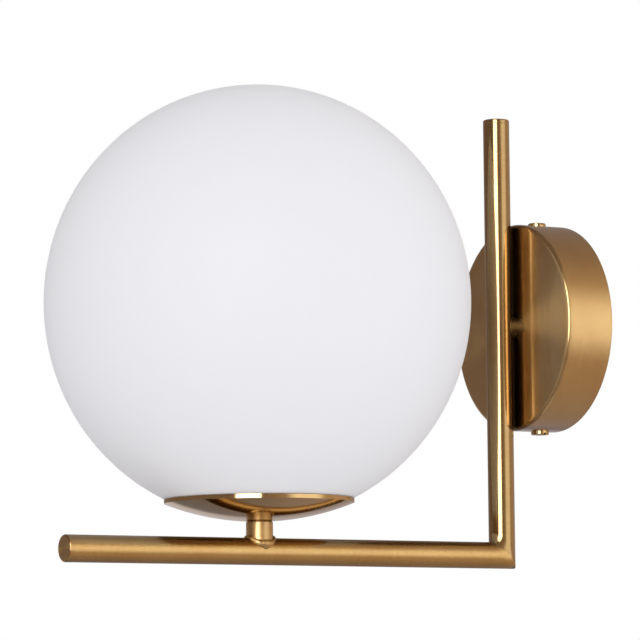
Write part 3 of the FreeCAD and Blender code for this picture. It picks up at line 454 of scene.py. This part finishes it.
def braze_bead():
    """Uneven bead of filler metal where the stem is brazed on the arm, round the stem's foot."""
    mesh = bmesh.new()
    rings = []
    for i in range(BEAD_RINGS):
        t = 2 * math.pi * i / BEAD_RINGS
        centre, radius = bead_section(t)
        outward = Vector((math.cos(t), math.sin(t), 0))
        ring = []
        for j in range(BEAD_SIDES):
            a = 2 * math.pi * j / BEAD_SIDES
            up = Vector((0, 0, 1.15 * radius * math.sin(a)))
            ring.append(mesh.verts.new(centre + outward * radius * math.cos(a) + up))
        rings.append(ring)
    for i, ring in enumerate(rings):
        after = rings[(i + 1) % BEAD_RINGS]
        for j in range(BEAD_SIDES):
            k = (j + 1) % BEAD_SIDES
            mesh.faces.new((ring[j], after[j], after[k], ring[k]))
    bmesh.ops.recalc_face_normals(mesh, faces=mesh.faces)
    data = bpy.data.meshes.new("braze_bead")
    mesh.to_mesh(data)
    mesh.free()
    for face in data.polygons:
        face.use_smooth = True
    bead = bpy.data.objects.new("braze_bead", data)
    bpy.context.scene.collection.objects.link(bead)
    data.materials.append(satin_brass("bead_brass", "Z", LAMP_AXIS, rough=0.36, brushing=0.003,
                                      sheen=0.2, wave=0.12, shade=1.1, lacquer=0.6, gloss=0.25))
    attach(bead, "wall_frame")


braze_bead()


# Camera of the photograph: its place, roll and lens come from the fit to the photo's edges.

CAMERA_AZIMUTH = 59.806
CAMERA_ELEVATION = -5.684
CAMERA_ROLL = -0.581
CAMERA_DISTANCE = 2.06543
CAMERA_AIM = (0.0, -0.13225, -0.00058)
FOCAL_PIXELS = 4376.96
PICTURE_PIXELS = 640
SENSOR_WIDTH = 36.0


def heading(azimuth, elevation=0.0):
    """Unit vector towards an azimuth (0 is -Y, 90 is +X) and an elevation, in degrees."""
    a = math.radians(azimuth)
    e = math.radians(elevation)
    return Vector((math.sin(a) * math.cos(e), -math.cos(a) * math.cos(e), math.sin(e)))


def make_camera():
    """Camera that looks at the aim from its azimuth and elevation, rolled about its own axis."""
    data = bpy.data.cameras.new("camera")
    camera = bpy.data.objects.new("camera", data)
    bpy.context.scene.collection.objects.link(camera)
    roll = math.radians(CAMERA_ROLL)
    back = heading(CAMERA_AZIMUTH, CAMERA_ELEVATION)
    right = (-back).cross(Vector((0, 0, 1))).normalized()
    up = right.cross(-back)
    across = math.cos(roll) * right + math.sin(roll) * up
    upright = -math.sin(roll) * right + math.cos(roll) * up
    turn = Matrix((across, upright, back)).transposed()
    place = Matrix.Translation(Vector(CAMERA_AIM) + back * CAMERA_DISTANCE)
    camera.matrix_world = place @ turn.to_4x4()
    data.sensor_width = SENSOR_WIDTH
    data.lens = FOCAL_PIXELS / PICTURE_PIXELS * SENSOR_WIDTH
    data.clip_start = 0.05
    data.clip_end = 50.0
    bpy.context.scene.camera = camera


# Studio

WHITE = (1.0, 1.0, 1.0)
EVEN_LIGHT = (0.99, 0.99, 1.00)
BACK_LIGHT = (0.36, 0.36, 0.36)
KEY_TURN = 8.0
KEY_AIM = (0.0, -0.132, 0.0)
FLOOR_RADIUS = 0.9
FLOOR_Z = -1.45
# Distances from the floor's middle at which it begins to fade and is gone.
FLOOR_FADE = (0.30, 0.66)

# What glossy surfaces mirror is a dim warm room with these soft rectangles in it, the later over
# the earlier ones. Each has its turn from the camera's azimuth, positive to the picture's right,
# its half width, its lowest and highest elevation, the softness of its sides and the softness of
# its top and bottom, all in degrees, and then its light.
ROOM = (0.262, 0.207, 0.180)
PALE_FLOOR = (180.0, 200.0, -95.0, -24.0, 5.0, 12.0, (0.40, 0.33, 0.31))
DIM_CORNER = (-150.0, 30.0, -70.0, -10.0, 15.0, 12.0, (0.215, 0.205, 0.22))
PALE_STRIP = (-150.0, 32.0, -18.0, 0.0, 14.0, 3.0, (0.70, 0.66, 0.69))
LIT_SIDE = (85.0, 60.0, -60.0, 58.0, 40.0, 20.0, (0.70, 0.54, 0.41))
GLOW = (61.0, 21.0, -20.0, 23.0, 9.0, 15.0, (1.66, 1.60, 1.47))
WHITE_PANEL = (-12.0, 15.0, -12.0, 37.0, 1.5, 4.0, (7.2, 7.2, 7.2))


def rectangle(g, direction, azimuth, half_width, low, high, soft_sides, soft_ends):
    """1 inside a soft-edged rectangle of directions, given in degrees, and 0 outside."""
    front = g.vector("DOT_PRODUCT", direction, tuple(heading(azimuth)))
    side = g.vector("DOT_PRODUCT", direction, tuple(heading(azimuth + 90)))
    turn = g.math("ABSOLUTE", g.math("ARCTAN2", side, front))
    rise = g.math("ARCSINE", g.split(direction)[2])

    def step(value, edge, soft, before, after):
        return g.remap(value, math.radians(edge - soft), math.radians(edge + soft), before, after, True)

    across = step(turn, half_width, soft_sides, 1.0, 0.0)
    above = step(rise, low, soft_ends, 0.0, 1.0)
    below = step(rise, high, soft_ends, 1.0, 0.0)
    return g.times(across, g.times(above, below))


def mirrored_room(g, direction):
    """The room that glossy surfaces mirror, with its rectangles of light."""
    colour = ROOM
    for turn, *shape, light in (PALE_FLOOR, DIM_CORNER, PALE_STRIP, LIT_SIDE, GLOW, WHITE_PANEL):
        colour = g.mix(rectangle(g, direction, CAMERA_AZIMUTH + turn, *shape), colour, light)
    return colour


def even_light(g, direction):
    """Light on matt surfaces: even from the front and the sides, weaker from elsewhere."""
    front = g.vector("DOT_PRODUCT", direction, tuple(heading(CAMERA_AZIMUTH + KEY_TURN)))
    colour = g.mix(g.remap(front, -0.62, -0.18, 0.0, 1.0, True), BACK_LIGHT, EVEN_LIGHT)
    rise = g.split(direction)[2]
    level = g.times(g.remap(rise, -0.90, -0.35, 0.76, 1.0, True),
                    g.remap(rise, 0.35, 0.90, 1.0, 0.80, True))
    return g.vector("MULTIPLY", colour, g.pack(level, level, level))


def make_world():
    """White behind the lamp, plain even light on it, and a photo studio for its gloss to mirror."""
    world = bpy.data.worlds.new("studio")
    bpy.context.scene.world = world
    world.use_nodes = True
    # Only bounces sample the world, because it looks different to glossy rays.
    world.cycles.sampling_method = "NONE"
    g = Graph(world.node_tree)
    direction = g.node("ShaderNodeTexCoord").outputs["Generated"]
    path = g.node("ShaderNodeLightPath").outputs
    colour = g.mix(path["Is Glossy Ray"], even_light(g, direction), mirrored_room(g, direction))
    seen = g.math("MAXIMUM", path["Is Camera Ray"], path["Is Transmission Ray"])
    colour = g.mix(seen, colour, WHITE)
    background = g.node("ShaderNodeBackground", {"Color": colour, "Strength": 1.0})
    g.node("ShaderNodeOutputWorld", {"Surface": background.outputs[0]})


def soft_box(name, azimuth, elevation, distance, width, height, power):
    """Rectangular studio lamp, aimed at the middle of the wall light."""
    light = bpy.data.lights.new(name, "AREA")
    light.shape = "RECTANGLE"
    light.size = width
    light.size_y = height
    light.energy = power
    lamp = bpy.data.objects.new(name, light)
    bpy.context.scene.collection.objects.link(lamp)
    lamp.visible_glossy = False
    back = heading(azimuth, elevation)
    lamp.location = Vector(KEY_AIM) + back * distance
    lamp.rotation_mode = "QUATERNION"
    lamp.rotation_quaternion = (-back).to_track_quat("-Z", "Y")


def make_floor():
    """Pale floor well below the lamp, fading into the white background at its edge."""
    bpy.ops.mesh.primitive_circle_add(vertices=128, radius=FLOOR_RADIUS, fill_type="NGON",
                                      location=(0, LAMP_Y, FLOOR_Z))
    floor = bpy.context.object
    floor.name = "floor"
    material, g = new_material("floor")
    fade = g.remap(g.vector("LENGTH", g.place()), *FLOOR_FADE, 0.0, 1.0, True)
    grain = g.noise(g.place(), 40.0, 3.0)
    paper = g.principled({
        "Base Color": g.mix(grain, (0.86, 0.86, 0.86), (0.90, 0.90, 0.90)), "Roughness": 0.8})
    clear = g.node("ShaderNodeBsdfTransparent").outputs[0]
    g.finish(g.mix_shader(fade, paper, clear))
    floor.data.materials.append(material)


make_world()
make_floor()
soft_box("key", CAMERA_AZIMUTH + KEY_TURN, elevation=4.0, distance=2.4, width=1.2, height=1.6, power=4.0)
make_camera()
bpy.context.scene.view_settings.view_transform = "Standard"
